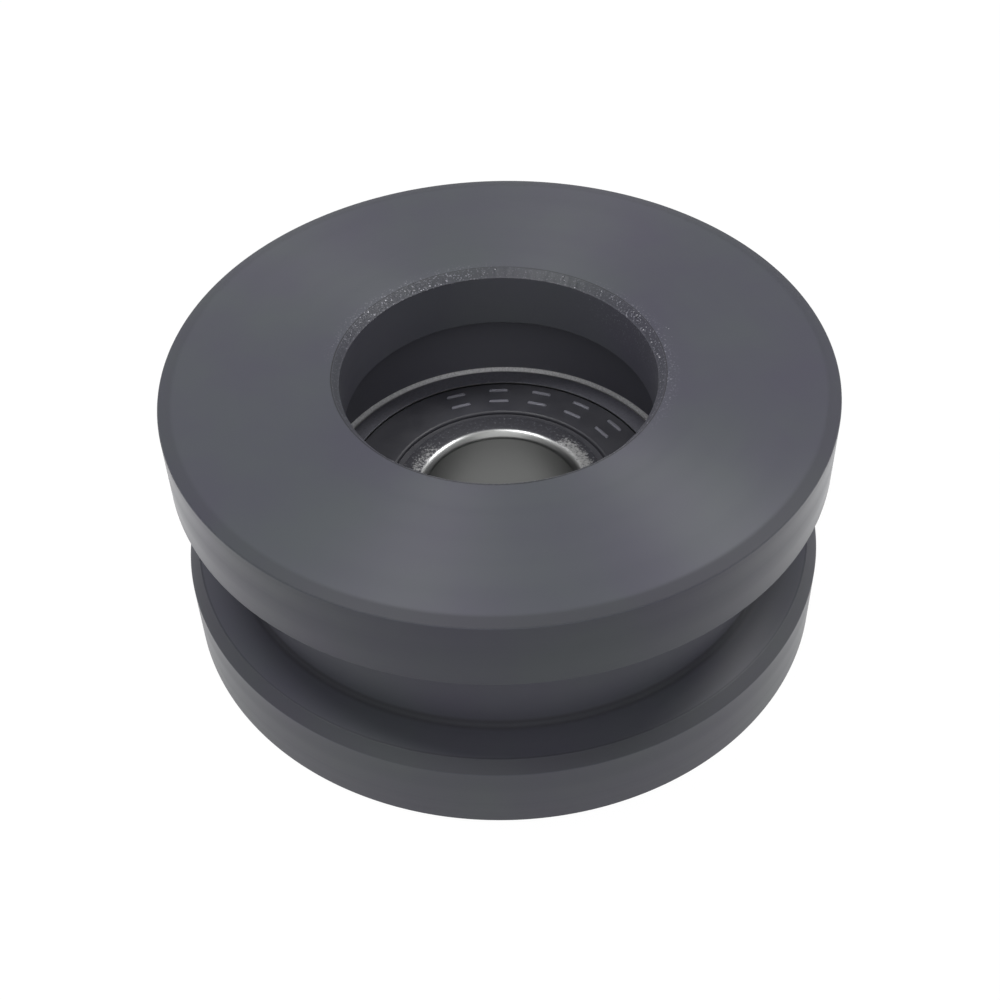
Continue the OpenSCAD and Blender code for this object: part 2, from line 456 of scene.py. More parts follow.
def toward(tree, place, azimuth, half_width):
    """1 on the side of the wheel that faces this azimuth, and 0 further round than half_width degrees."""
    flat = add_node(tree, "ShaderNodeVectorMath", {0: place, 1: (1.0, 1.0, 0.0)}, operation="MULTIPLY")
    unit = add_node(tree, "ShaderNodeVectorMath", {0: flat.outputs[0]}, operation="NORMALIZE")
    angle = math.radians(azimuth)
    facing = add_node(
        tree,
        "ShaderNodeVectorMath",
        {0: unit.outputs[0], 1: (math.cos(angle), math.sin(angle), 0.0)},
        operation="DOT_PRODUCT",
    )
    return smooth_step(tree, facing.outputs["Value"], math.cos(math.radians(half_width)), 1.0)


print("bands fade within", round(band.__defaults__[0] / MM, 2), "mm")

# %% [markdown]
# On this wheel six areas differ from the turned faces:
#
# - The mouth's edge was broken by hand, so the plastic round it is torn and speckled with pale grains. That
#   is strongest on the two sides where the burrs lie, and fades outwards.
# - The small step above the bearing's seat is painted pale: a painted highlight for the light its edge
#   catches from the mouth.
# - The chamfers are duller than the faces, and so is the strip along the rim's edge. Both are also darkened
#   with painted shade, the strip most on the side towards the camera.
# - Pale dust lies in the recess under the lip, in the mouth and in the groove. It is also painted light
#   there, lifting the shade of these hollows.
# - The groove's two inner corners are darkened with painted shade, and made rougher.
# - A thin dark line of painted shade follows the outer edge of the mouth's chamfer.

# %% Torn nylon, and a painted highlight on the seat's step
TORN_SIDES = (12, 128)
TORN_HALF_WIDTH = 52
TORN_REACH = 1.8 * MM


def torn_share(tree, place, radius, height, chamfer):
    """How torn the surface is: most on the mouth's chamfer on the torn sides, and fading away from it."""
    sides = [toward(tree, place, azimuth, TORN_HALF_WIDTH) for azimuth in TORN_SIDES]
    above = smooth_step(tree, height, END_Z - 1.3 * MOUTH_CHAMFER, END_Z - MOUTH_CHAMFER)
    outwards = smooth_step(tree, radius, MOUTH_EDGE, MOUTH_EDGE + TORN_REACH, 1.0, 0.0)
    on_top = product(tree, above, outwards, largest(tree, *sides))
    down_wall = smooth_step(tree, height, END_Z - LIP_T, END_Z, 0.0, 0.7)
    on_wall = band(tree, radius, 0.0, MOUTH_R + 0.1 * MM)
    inside = product(tree, down_wall, on_wall, sides[0])
    return largest(tree, on_top, product(tree, chamfer, 0.4), inside)


def step_highlight_share(tree, radius, height):
    """1 on the small step above the bearing's seat, where a pale painted highlight stands in for the light
    its edge catches.
    """
    step_z = BEARING_Z + FACE_Z - SEAT_DROP
    in_height = band(tree, height, step_z - 0.06 * MM, step_z + BORE_RELIEF + 0.06 * MM, 0.05 * MM)
    return product(tree, in_height, band(tree, radius, 0.0, SEAT_R + 2 * BORE_RELIEF))


print(f"torn nylon reaches {TORN_REACH / MM:.1f} mm out from the mouth's edge")

# %% Dull nylon, dust, and painted light and shade
# The side where the rim's edge strip gets the most painted shade, in degrees round, and how far round that
# reaches.
EDGE_SHADE_SIDE = 285
EDGE_SHADE_HALF_WIDTH = 75


def dull_and_shaded_share(tree, place, radius, height, chamfer):
    """How dull the surface is, and how darkened with painted shade: every chamfer, and the strip along the
    rim's edge, more so on one side.
    """
    away = maths(tree, "ABSOLUTE", height)
    up_chamfer = band(tree, away, GROOVE_HALF - 0.05 * MM, GROOVE_HALF + GROOVE_CHAMFER - 0.08 * MM)
    by_rim = band(tree, radius, WHEEL_R - GROOVE_CHAMFER - 0.15 * MM, WHEEL_R)
    near_end = band(tree, away, END_Z - EDGE_SLOPE_H, END_Z)
    near_edge = band(tree, radius, WHEEL_R - EDGE_SLOPE_W, WHEEL_R, 0.6 * MM)
    more = product(tree, toward(tree, place, EDGE_SHADE_SIDE, EDGE_SHADE_HALF_WIDTH), 0.9)
    strip = product(tree, near_end, near_edge, maths(tree, "ADD", more, 0.6))
    return largest(tree, product(tree, up_chamfer, by_rim), chamfer, strip)


def dust_and_light_share(tree, radius, height):
    """How much pale dust and painted light the surface gets: most in the recess under the lip, less in the
    mouth and in the groove, where it lifts the shade.
    """
    mouth = product(tree, band(tree, radius, 0.0, MOUTH_R + 0.1 * MM), 0.35)
    recess = band(tree, radius, MOUTH_R + LIP_EDGE, SEAT_R + BORE_RELIEF + 0.1 * MM)
    under_lip = product(tree, recess, band(tree, height, -END_Z, END_Z - LIP_T))
    groove = band(tree, radius, FLOOR_R - 0.1 * MM, WHEEL_R - GROOVE_CHAMFER)
    between = product(tree, groove, band(tree, height, -GROOVE_HALF, GROOVE_HALF), 0.3)
    return largest(tree, under_lip, mouth, between)


def shaded_corners_share(tree, radius, height):
    """1 in the groove's two inner corners, where shade is painted, fading over the better part of a
    millimetre.
    """
    away, fade = maths(tree, "ABSOLUTE", height), 0.7 * MM
    in_height = band(tree, away, GROOVE_HALF - GROOVE_FILLET, GROOVE_HALF + 0.5 * GROOVE_FILLET, fade)
    in_radius = band(tree, radius, FLOOR_R - GROOVE_FILLET, FLOOR_R + 0.5 * GROOVE_FILLET, fade)
    return product(tree, in_height, in_radius)


def shade_line(tree, nicked, height):
    """A thin dark line of painted shade along the outer edge of the mouth's chamfer, half way down the fade
    of the nicks.
    """
    on_face = smooth_step(tree, height, END_Z - 0.3 * MOUTH_CHAMFER, END_Z - 0.1 * MOUTH_CHAMFER, 0.0, 0.8)
    return product(tree, band(tree, nicked, 0.5, 0.75, 0.2), on_face)


print(f"the rim is rubbed dullest at {EDGE_SHADE_SIDE} degrees round")

# %% Black cast nylon
COLD_BLACK, PLAIN_BLACK = "#474653", "#4a4e53"
# Pale dust, which is also painted light that lifts the shade in the hollows.
DUST_AND_PAINTED_LIGHT = "#777781"
# Painted shade on the chamfers and along the rim's edge.
PAINTED_EDGE_SHADE = "#1d1d20"
TORN_GRAIN = "#95959f"
# A painted highlight on the small step above the bearing's seat.
PAINTED_STEP_HIGHLIGHT = "#f4f4f6"
# The colour of the painted shade in the groove's corners and along the mouth's chamfer.
PAINTED_SHADE = "#131315"


def turned_nylon():
    # Nylon's index of refraction is 1.53. A tool in plastic leaves it half matt.
    material, tree, shader = start_material(
        "black_cast_nylon_turned", {"IOR": 1.53, "Anisotropic": 0.75, "Anisotropic Rotation": 0.25}
    )
    place = object_place(tree)
    rings, radius, height = ring_place(tree, place)
    # The nicks reach all of the mouth's chamfer and nothing else, so they also say where it is.
    nicked = add_node(tree, "ShaderNodeAttribute", attribute_name="nicked").outputs["Fac"]
    chamfer = smooth_step(tree, nicked, 0.9, 1.0)
    torn = torn_share(tree, place, radius, height, chamfer)
    dull_and_shaded = dull_and_shaded_share(tree, place, radius, height, chamfer)
    dust_and_light = product(tree, dust_and_light_share(tree, radius, height), 0.55)
    # Clouds more than a centimetre across, from casting and handling.
    clouds = noise_at(tree, place, 12 * MM, 3.0)
    # The real feed is about 0.15 mm a turn. Twice that is drawn, so that it shows from arm's length.
    marks = noise_at(tree, rings, 0.3 * MM, 1.0)
    broad = noise_at(tree, rings, 2.5 * MM, 2.0)
    grain = noise_at(tree, place, 0.22 * MM, 3.0, 0.6)
    dark = blend_colours(tree, spread(tree, clouds, 0.0, 1.0), COLD_BLACK, PLAIN_BLACK)
    dusted_and_lit = blend_colours(tree, dust_and_light, dark, DUST_AND_PAINTED_LIGHT)
    dulled_and_shaded = blend_colours(tree, product(tree, dull_and_shaded, 0.3), dusted_and_lit, PAINTED_EDGE_SHADE)
    specks = product(tree, smooth_step(tree, grain, 0.56, 0.7), torn)
    speckled = blend_colours(tree, specks, dulled_and_shaded, TORN_GRAIN)
    step_highlight = product(tree, step_highlight_share(tree, radius, height), spread(tree, grain, 0.6, 1.0))
    highlighted = blend_colours(tree, step_highlight, speckled, PAINTED_STEP_HIGHLIGHT)
    # Painted shade in the groove's inner corners.
    shaded_corners = product(tree, shaded_corners_share(tree, radius, height), 0.45)
    shaded = largest(tree, shade_line(tree, nicked, height), shaded_corners)
    colour = blend_colours(tree, shaded, highlighted, PAINTED_SHADE)
    worn = product(tree, largest(tree, torn, dull_and_shaded), 0.15)
    rougher = largest(tree, worn, product(tree, shaded_corners, 0.6))
    roughness = maths(tree, "ADD", spread(tree, broad, 0.38, 0.46), rougher)
    fine = bump(tree, 0.25, 0.02 * MM, marks)
    normal = bump(tree, 0.6, 0.08 * MM, product(tree, grain, torn), fine)
    tangent = add_node(tree, "ShaderNodeTangent", direction_type="RADIAL", axis="Z").outputs[0]
    plug(tree, shader, Base_Color=colour, Roughness=roughness, Normal=normal, Tangent=tangent)
    return material


NYLON = turned_nylon()
print("made", NYLON.name)

# %% [markdown]
# ## Materials of the bearing
#
# - The rings are through-hardened bearing steel, ground on their faces and honed in the bore. Grinding leaves
#   fine rings too, so the same ring coordinates serve again, with a metal's shine. Grease dries on the faces
#   to a thin film, which hides most of that shine and is worn through in spots.
# - The balls are the same steel, lapped to a mirror.
# - The cage is soft steel strip, rolled and then pressed, so it is bright but a little dull.
# - The seals are nitrile rubber from a polished mould: black, nearly matt, with a faint grain.

# %% Bearing steels
# Where the film is wiped away, in degrees round, and how much of it.
WIPED_SIDES = ((28, 0.34), (155, 0.2))
WIPED_HALF_WIDTH = 26


def ground_steel():
    material, tree, shader = start_material(
        "bearing_steel_ground", {"Metallic": 1.0, "Anisotropic": 0.3, "Anisotropic Rotation": 0.25}
    )
    place = object_place(tree)
    rings, radius, height = ring_place(tree, place)
    marks = noise_at(tree, rings, 0.12 * MM, 2.0)
    # A dried film of grease on the faces, worn through in spots about half a millimetre across and wiped away
    # on two sides. The bore and its chamfers stay clean.
    from_middle = maths(tree, "ABSOLUTE", maths(tree, "SUBTRACT", height, BEARING_Z))
    on_face = smooth_step(tree, from_middle, FACE_Z - 0.12 * MM, FACE_Z - 0.02 * MM)
    spots = noise_at(tree, place, 0.35 * MM, 5.0, 0.7)
    sides = [
        product(tree, toward(tree, place, azimuth, WIPED_HALF_WIDTH), share)
        for azimuth, share in WIPED_SIDES
    ]
    near_bore = smooth_step(tree, radius, BORE_R + 1.5 * MM, STEP_R, 1.0, 0.0)
    bared = product(tree, largest(tree, *sides), near_bore)
    worn = smooth_step(tree, maths(tree, "ADD", spots, bared), 0.6, 0.9)
    film = product(tree, on_face, maths(tree, "SUBTRACT", 1.0, worn))
    bare = blend_colours(tree, on_face, "#a2a3a2", "#c4c4c4")
    # The film is painted lighter on the outer ring, which lies in shade: this is painted light. Its patches
    # are random.
    patchy = spread(tree, spots, -0.4, 0.4)
    outer_lift_and_patches = maths(tree, "ADD", smooth_step(tree, radius, STEP_R, OUTER_SHOULDER_R), patchy)
    colour = blend_colours(tree, film, bare, blend_colours(tree, outer_lift_and_patches, "#37373d", "#65656e"))
    metallic = maths(tree, "SUBTRACT", 1.0, product(tree, film, 0.85))
    roughness = add_node(tree, "ShaderNodeMapRange", {0: on_face, 3: 0.32, 4: 0.52}).outputs[0]
    tangent = add_node(tree, "ShaderNodeTangent", direction_type="RADIAL", axis="Z").outputs[0]
    plug(tree, shader, Base_Color=colour, Metallic=metallic, Roughness=roughness, Tangent=tangent)
    plug(tree, shader, Normal=bump(tree, 0.3, 0.01 * MM, marks))
    return material


def lapped_steel():
    material, tree, shader = start_material("ball_steel_lapped", {"Metallic": 1.0})
    haze = noise_at(tree, object_place(tree), 1.5 * MM, 2.0)
    plug(
        tree,
        shader,
        Base_Color=blend_colours(tree, haze, "#c9cacb", "#bfc0c1"),
        Roughness=spread(tree, haze, 0.05, 0.1),
    )
    return material


def pressed_strip():
    material, tree, shader = start_material("steel_strip_pressed", {"Metallic": 1.0})
    place = object_place(tree)
    grain = noise_at(tree, place, 0.4 * MM, 3.0)
    colour = blend_colours(tree, noise_at(tree, place, 4 * MM), "#a9a69f", "#98958e")
    normal = bump(tree, 0.3, 0.01 * MM, grain)
    plug(tree, shader, Base_Color=colour, Roughness=spread(tree, grain, 0.3, 0.42), Normal=normal)
    return material


RING_STEEL, BALL_STEEL, STRIP_STEEL = ground_steel(), lapped_steel(), pressed_strip()
print("made", RING_STEEL.name, BALL_STEEL.name, STRIP_STEEL.name)


# %% Seal rubber
def seal_rubber(name, darkest, lightest):
    # Rubber's index of refraction is 1.52.
    material, tree, shader = start_material(name, {"IOR": 1.52})
    place = object_place(tree)
    grain = noise_at(tree, place, 0.25 * MM, 3.0)
    dust = noise_at(tree, place, 2.5 * MM, 4.0, 0.6)
    normal = bump(tree, 0.35, 0.02 * MM, grain)
    plug(
        tree,
        shader,
        Base_Color=blend_colours(tree, dust, darkest, lightest),
        Roughness=spread(tree, dust, 0.45, 0.6),
        Normal=normal,
    )
    return material


RUBBER = seal_rubber("nitrile_rubber_moulded", "#34343b", "#434349")
# The marks that stand proud of the web are painted pale: a painted highlight for the light their rounded
# edges catch.
HIGHLIGHTED_RUBBER = seal_rubber("nitrile_rubber_painted_highlight", "#72727c", "#8d8d97")
print("made", RUBBER.name, HIGHLIGHTED_RUBBER.name)

# %% [markdown]
# ## The turned wheel
#
# The wheel is one piece, so it is one section. It is walked anticlockwise: out along the lower end, up the
# rim and through the groove, in along the upper end, and down the stepped hole. A lathe tool has a round nose
# and a careful turner breaks each edge, so no corner is quite sharp: outer edges get a radius of a tenth or
# two of a millimetre, which is what catches a thin line of light. The mouth was deburred by hand, so its two
# edges carry the nicks.

# %% The wheel body
FINE_EDGE = 0.1 * MM
RIM_EDGE = 0.2 * MM
SOFT_EDGE = 3.0 * MM


def wheel_section():
    groove_mouth = GROOVE_HALF + GROOVE_CHAMFER
    groove_lip_r = WHEEL_R - GROOVE_CHAMFER
    lip_z = END_Z - LIP_T
    relief_r = SEAT_R + BORE_RELIEF
    seat_end = BEARING_Z + FACE_Z - SEAT_DROP
    # Plain points to either side of the mouth's chamfer keep its nicks from reaching across the end face.
    guard = 0.3 * MM
    return [
        (SEAT_R + SEAT_LEAD, -END_Z, FINE_EDGE),
        (WHEEL_R - EDGE_SLOPE_W, -END_Z, SOFT_EDGE),
        (WHEEL_R, EDGE_SLOPE_H - END_Z, RIM_EDGE),
        (WHEEL_R, -groove_mouth, RIM_EDGE),
        (groove_lip_r, -GROOVE_HALF, FINE_EDGE),
        (FLOOR_R, -GROOVE_HALF, GROOVE_FILLET),
        (FLOOR_R, GROOVE_HALF, GROOVE_FILLET),
        (groove_lip_r, GROOVE_HALF, FINE_EDGE),
        (WHEEL_R, groove_mouth, RIM_EDGE),
        (WHEEL_R, END_Z - EDGE_SLOPE_H, RIM_EDGE),
        (WHEEL_R - EDGE_SLOPE_W, END_Z, SOFT_EDGE),
        (MOUTH_EDGE + 2 * guard, END_Z, 0.0),
        (MOUTH_EDGE + guard, END_Z, 0.0, 0.0, 1.0),
        (MOUTH_EDGE, END_Z, FINE_EDGE, 1.0, 1.0),
        (MOUTH_R, END_Z - MOUTH_CHAMFER, FINE_EDGE, 1.0),
        (MOUTH_R, END_Z - MOUTH_CHAMFER - guard, 0.0),
        (MOUTH_R, lip_z + LIP_EDGE, FINE_EDGE),
        (MOUTH_R + LIP_EDGE, lip_z, FINE_EDGE),
        (relief_r, lip_z, GROOVE_FILLET),
        (relief_r, seat_end + BORE_RELIEF, FINE_EDGE),
        (SEAT_R, seat_end, FINE_EDGE),
        (SEAT_R, SEAT_LEAD - END_Z, FINE_EDGE),
    ]


add_piece(
    "wheel_body_turned",
    turn(
        "wheel",
        wheel_section(),
        NYLON,
        segments=720,
        **{"Nick depth": 0.05 * MM, "Nick size": 0.4 * MM, "Lean": (0.04 * MM, 0.28 * MM, 0.0)},
    ),
    "wheel",
    ["wheel_body"],
)

# %% [markdown]
# ## The bearing's rings
#
# Each ring is a turned section again, drawn round the bearing's own middle plane. The ball tracks are arcs a
# little wider than a ball. They are worked out with the equation of a circle, from one shoulder to the other.

# %% Outer and inner ring
# The bore's chamfers are tumbled after turning, which rounds them well over.
BORE_ROUNDING = 1.0 * MM


def track(shoulder_r, centre_r, side, steps=24):
    """Points along a ball track, from its lower shoulder to its upper one. side is 1 if it opens inwards."""
    half_angle = math.acos(abs(shoulder_r - centre_r) / TRACK_R)
    angles = [half_angle * (2 * i / steps - 1) for i in range(steps + 1)]
    return [(centre_r + side * TRACK_R * math.cos(a), TRACK_R * math.sin(a), 0.0) for a in angles]


def outer_ring_section():
    ledge_z = FACE_Z - LEDGE
    bead_z = ledge_z + BEAD_H
    inside_upper = [
        (OUTER_SHOULDER_R, ledge_z, 0.05 * MM),
        (BEAD_R, ledge_z, 0.0),
        (BEAD_R, bead_z, 0.0),
        (RECESS_R, bead_z, 0.0),
        (RECESS_R, FACE_Z, 0.04 * MM),
    ]
    arc = track(OUTER_SHOULDER_R, PITCH_R + BALL_R + TRACK_GAP - TRACK_R, 1)
    inside_lower = [(r, -z, c) for r, z, c in reversed(inside_upper)]
    outside = [(SEAT_R, -FACE_Z, RING_CORNER), (SEAT_R, FACE_Z, RING_CORNER)]
    # Up the outside, down the inside.
    return outside + [(r, z, c) for r, z, c in reversed(inside_upper)] + arc[::-1] + inside_lower[::-1]


def inner_ring_section():
    step_z = FACE_Z - STEP
    outside_upper = [
        (INNER_SHOULDER_R, step_z, RING_BREAK),
        (STEP_R, step_z, 0.05 * MM),
        (STEP_R, FACE_Z, RING_BREAK),
    ]
    arc = track(INNER_SHOULDER_R, PITCH_R - BALL_R - TRACK_GAP + TRACK_R, -1)
    outside_lower = [(r, -z, c) for r, z, c in reversed(outside_upper)]
    bore = [
        (BORE_R + BORE_CHAMFER, FACE_Z, BORE_ROUNDING),
        (BORE_R, FACE_Z - BORE_CHAMFER, BORE_ROUNDING / 2),
        (BORE_R, BORE_CHAMFER - FACE_Z, BORE_ROUNDING / 2),
        (BORE_R + BORE_CHAMFER, -FACE_Z, BORE_ROUNDING),
    ]
    return bore + outside_lower + arc + outside_upper


RINGS = (("outer", outer_ring_section(), "wheel"), ("inner", inner_ring_section(), "hub"))
for label, section, body in RINGS:
    add_piece(
        f"{label}_ring_ground",
        turn(f"{label} ring", section, RING_STEEL, BEARING_Z),
        body,
        [f"{label}_ring"],
    )

# %% [markdown]
# ## The seals
#
# Each seal is a rubber washer. Its bead snaps into the outer ring, its web covers the balls, and its thin
# inner lip runs in the step of the inner ring. The mould leaves two arcs of low raised marks on the web. Here
# they are plain stacks of bars, spaced evenly, which say nothing.

# %% Seal webs
def seal_section(side):
    """The section of a seal, above the middle plane if side is 1 and below it if side is -1."""
    ledge_z = FACE_Z - LEDGE
    bead_z = ledge_z + BEAD_H
    under_z = SEAL_TOP - WEB_T
    lip_r = STEP_R + LIP_GAP
    lip_under = FACE_Z - STEP + LIP_GAP
    lip_w = WEB_R - lip_r
    small, tiny = 0.12 * MM, 0.05 * MM
    upper = [
        (OUTER_SHOULDER_R, ledge_z, 0.0),
        (BEAD_R, ledge_z, 0.0),
        (BEAD_R, bead_z, tiny),
        (RECESS_R, bead_z, 0.0),
        (RECESS_R - 0.04 * MM, SEAL_TOP, small),
        (WEB_R, SEAL_TOP, 0.3 * MM),
        (WEB_R, FACE_Z - SEAL_LIP_TOP, tiny),
        (lip_r, FACE_Z - SEAL_LIP_TOP, small),
        (lip_r, lip_under, small),
        (WEB_R, lip_under, tiny),
        (WEB_R + lip_w, under_z, tiny),
        (OUTER_SHOULDER_R - 1 * MM, under_z, tiny),
    ]
    return upper if side > 0 else [(r, -z, c) for r, z, c in reversed(upper)]


for side, label in ((1, "upper"), (-1, "lower")):
    add_piece(
        f"seal_{label}_moulded",
        turn(f"{label} seal", seal_section(side), RUBBER, BEARING_Z),
        "wheel",
        [f"seal_{label}"],
    )

# %% [markdown]
# The marks are copies of one small bar. Instances fit this well: the bar is made once, a circle of points
# says where the copies go, and Align Rotation to Vector lays each one along the circle. Array modifiers or
# loose copies would do it too, but with the tree the number of marks stays one input.

# %% Raised marks on the seals
def marks_tree():
    tree, given, end = new_tree(
        "raised_marks",
        Int=["Places", "First place", "Marks in an arc"],
        Float=["Radius", "Row gap", "Height"],
        Vector=["Bar"],
    )
    block = add_node(tree, "GeometryNodeMeshCube", {"Size": given["Bar"]})
    bar = add_node(
        tree, "GeometryNodeSubdivisionSurface", {0: block.outputs[0], "Level": 3, "Edge Crease": 0.4}
    )
    smooth = add_node(tree, "GeometryNodeSetShadeSmooth", {0: bar.outputs[0]})
    # Half the places make one arc, and only its first few are filled.
    index = add_node(tree, "GeometryNodeInputIndex")
    before = maths(tree, "SUBTRACT", index.outputs[0], given["First place"])
    in_arc = maths(tree, "FLOORED_MODULO", before, product(tree, given["Places"], 0.5))
    filled = maths(tree, "LESS_THAN", in_arc, given["Marks in an arc"])
    all_rows = add_node(tree, "GeometryNodeJoinGeometry")
    for share in (-0.5, 0.5):
        offset = product(tree, given["Row gap"], share)
        radius = maths(tree, "ADD", given["Radius"], offset)
        circle = add_node(
            tree,
            "GeometryNodeCurvePrimitiveCircle",
            {"Resolution": given["Places"], "Radius": radius},
        )
        points = add_node(tree, "GeometryNodeCurveToPoints", {0: circle.outputs[0]}, mode="EVALUATED")
        along = add_node(
            tree, "FunctionNodeAlignRotationToVector", {"Vector": points.outputs["Tangent"]}, axis="X"
        )
        row = add_node(
            tree,
            "GeometryNodeInstanceOnPoints",
            {
                "Points": points.outputs[0],
                "Selection": filled,
                "Instance": smooth.outputs[0],
                "Rotation": along.outputs[0],
            },
        )
        tree.links.new(row.outputs[0], all_rows.inputs[0])
    lift = add_node(tree, "ShaderNodeCombineXYZ", {2: given["Height"]})
    lifted = add_node(
        tree, "GeometryNodeSetPosition", {"Geometry": all_rows.outputs[0], "Offset": lift.outputs[0]}
    )
    close_tree(tree, given, end, lifted.outputs[0])
    return tree


MARKS = marks_tree()
BAR = (2.3 * MM, 0.42 * MM, 0.6 * MM)
MARK_STANDS = 0.16 * MM
MARK_VALUES = {
    "Places": 20,
    "First place": 2,
    "Marks in an arc": 5,
    "Radius": 15.3 * MM,
    "Row gap": 1.9 * MM,
    "Bar": BAR,
    "Material": HIGHLIGHTED_RUBBER,
}


def add_marks(label, side):
    height = BEARING_Z + side * (SEAL_TOP + MARK_STANDS - BAR[2] / 2)
    holder = bpy.data.objects.new(f"marks_{label}", bpy.data.meshes.new("holder"))
    mesh = run_tree(holder, MARKS, {**MARK_VALUES, "Height": height})
    add_piece(f"seal_marks_{label}", mesh, "wheel")
    print(f"{label} seal: {len(mesh.polygons)} faces of raised marks")


add_marks("upper", 1)
add_marks("lower", -1)

# %% [markdown]
# ## Burrs left at the mouth
#
# Nylon doesn't break off as a clean chip. Where the tool leaves an edge, a few thin, pale flakes hang on.
# They are scattered by a tree: random angles within a stretch of the mouth, a random distance out from its
# edge, and a height that follows the chamfer. Each one is the same dented little ball, turned and stretched
# at random. A fixed seed keeps them in the same places in every run.

# %% Nylon burrs
def burr_material():
    material, tree, shader = start_material("nylon_burr_whitened", {"IOR": 1.53, "Roughness": 0.7})
    pale = noise_at(tree, object_place(tree), 0.5 * MM, 2.0)
    tree.links.new(blend_colours(tree, pale, "#9b9ba3", "#d7d7dd"), shader.inputs["Base Color"])
    return material


def random_value(tree, seed, number, low, high):
    """A random number for each point, or a vector if low and high are. number tells one draw from another."""
    kind, first = ("FLOAT_VECTOR", 0) if isinstance(low, tuple) else ("FLOAT", 2)
    return add_node(
        tree,
        "FunctionNodeRandomValue",
        {first: low, first + 1: high, "Seed": maths(tree, "ADD", seed, float(number))},
        data_type=kind,
    ).outputs[first // 2]


def burr_tree():
    tree, given, end = new_tree(
        "burrs",
        Int=["Count", "Seed"],
        Float=["Edge radius", "Top", "Nearest", "Farthest", "From angle", "To angle", "Size"],
    )
    seed = given["Seed"]
    angle = random_value(tree, seed, 0, given["From angle"], given["To angle"])
    beyond = random_value(tree, seed, 1, given["Nearest"], given["Farthest"])
    radius = maths(tree, "ADD", given["Edge radius"], beyond)
    # Inside the edge the surface is a 45 degree chamfer, so it falls as much as it goes in.
    height = maths(tree, "ADD", given["Top"], maths(tree, "MINIMUM", beyond, 0.0))
    place = add_node(
        tree,
        "ShaderNodeCombineXYZ",
        {
            0: product(tree, radius, maths(tree, "COSINE", angle)),
            1: product(tree, radius, maths(tree, "SINE", angle)),
            2: height,
        },
    )
    points = add_node(
        tree, "GeometryNodePoints", {"Count": given["Count"], "Position": place.outputs[0]}
    )

    ball = add_node(tree, "GeometryNodeMeshIcoSphere", {"Radius": 0.5, "Subdivisions": 2})
    dent = add_node(tree, "ShaderNodeTexNoise", {"Scale": 2.2, "Detail": 2.0})
    inward = add_node(
        tree, "ShaderNodeVectorMath", {0: dent.outputs["Color"], 1: (0.5,) * 3}, operation="SUBTRACT"
    )
    uneven = add_node(
        tree, "GeometryNodeSetPosition", {"Geometry": ball.outputs[0], "Offset": inward.outputs[0]}
    )
    stretch = random_value(tree, seed, 2, (0.3,) * 3, (1.0,) * 3)
    scattered = add_node(
        tree,
        "GeometryNodeInstanceOnPoints",
        {
            "Points": points.outputs[0],
            "Instance": uneven.outputs[0],
            "Rotation": random_value(tree, seed, 3, (0.0,) * 3, (math.tau,) * 3),
            "Scale": scaled(tree, stretch, given["Size"]),
        },
    )
    close_tree(tree, given, end, scattered.outputs[0])
    return tree


BURRS = burr_tree()
BURR = burr_material()
# A name, how many, how far from the mouth's edge they lie in mm, the stretch of the edge in degrees, their
# size in mm and a seed.
STRETCHES = (
    ("burrs_left", 20, (-0.7, 0.3), (108, 150), 0.24, 3),
    ("burrs_right", 24, (-0.7, 2.2), (-12, 40), 0.2, 11),
    ("burrs_round", 10, (-0.6, 0.1), (0, 180), 0.16, 23),
)
SUNK = 0.06 * MM
for name, count, (nearest, farthest), (first, last), size, seed in STRETCHES:
    holder = bpy.data.objects.new(name, bpy.data.meshes.new("holder"))
    mesh = run_tree(
        holder,
        BURRS,
        {
            "Count": count,
            "Edge radius": MOUTH_EDGE,
            "Top": END_Z - SUNK,
            "Nearest": nearest * MM,
            "Farthest": farthest * MM,
            "From angle": math.radians(first),
            "To angle": math.radians(last),
            "Size": size * MM,
            "Seed": seed,
            "Material": BURR,
        },
    )
    add_piece(name, mesh, "wheel")
    print(f"{name}: {count} flakes, {len(mesh.polygons)} faces")

# %% [markdown]
# ## Pieces kept from the CAD model
#
# The balls, the pressed cage and its rivets sit between the seals and are never seen unless the bearing is
# opened. The CAD meshes are good enough for that, so they stay, and get materials like everything else.

# %% Materials for the kept CAD pieces
kept = {f"ball_{i}": BALL_STEEL for i in range(1, 9)}
kept.update({name: STRIP_STEEL for name in ("cage_upper", "cage_lower", "cage_rivets")})
for name, material in kept.items():
    piece = nodes[name]
    for material_slot in piece.material_slots:
        material_slot.material = material
    if not piece.material_slots:
        piece.data.materials.append(material)
print("kept from the CAD model:", ", ".join(sorted(kept)))

# %% [markdown]
# ## Floor, light and camera
#
# The wheel lies on a white sweep under two big soft boxes, one high on the left and one behind on the right,
# with a weak card by the lens that opens up the hollow places. Black plastic shows mostly what it mirrors, so
# what the floor and the room look like in reflections matters as much as the lamps:
#
# - To the camera the sweep is pure white.
# - In reflections it grows brighter towards the back, where a sweep is lit from behind, and it is dark under
#   the wheel, where no light gets in.
# - To the sides of things it gives less light, because in a studio most light comes from above.
# - From below it is clear, and it glows for the lower end's diffuse rays, so that this end can be looked at.
#
# Light Path tells these cases apart.

# %% Floor
FLOOR_COLOUR = "#d0d0d0"
FLOOR_SIZE = 3.0
# A hair's breadth below the wheel, so that the two surfaces never lie in one plane.
FLOOR_Z = wheel_low.z - 0.05 * MM
# How bright it is in reflections: in front, at the back, and under the wheel and its bore.
FLOOR_FRONT, FLOOR_FRONT_Y = 0.3, -60 * MM
FLOOR_BACK, FLOOR_BACK_Y = 2.0, 5 * MM
FLOOR_UNDER_WHEEL = 0.08
FLOOR_UNDER_BORE = 0.24
# How bright it is to the lower end's diffuse rays, and to the camera.
FLOOR_UPWARDS = 0.8
FLOOR_SEEN = 1.05
# How much of that shows. The rest is the plain floor, which holds the wheel's shadow.
GLOW_SHARE = 0.93


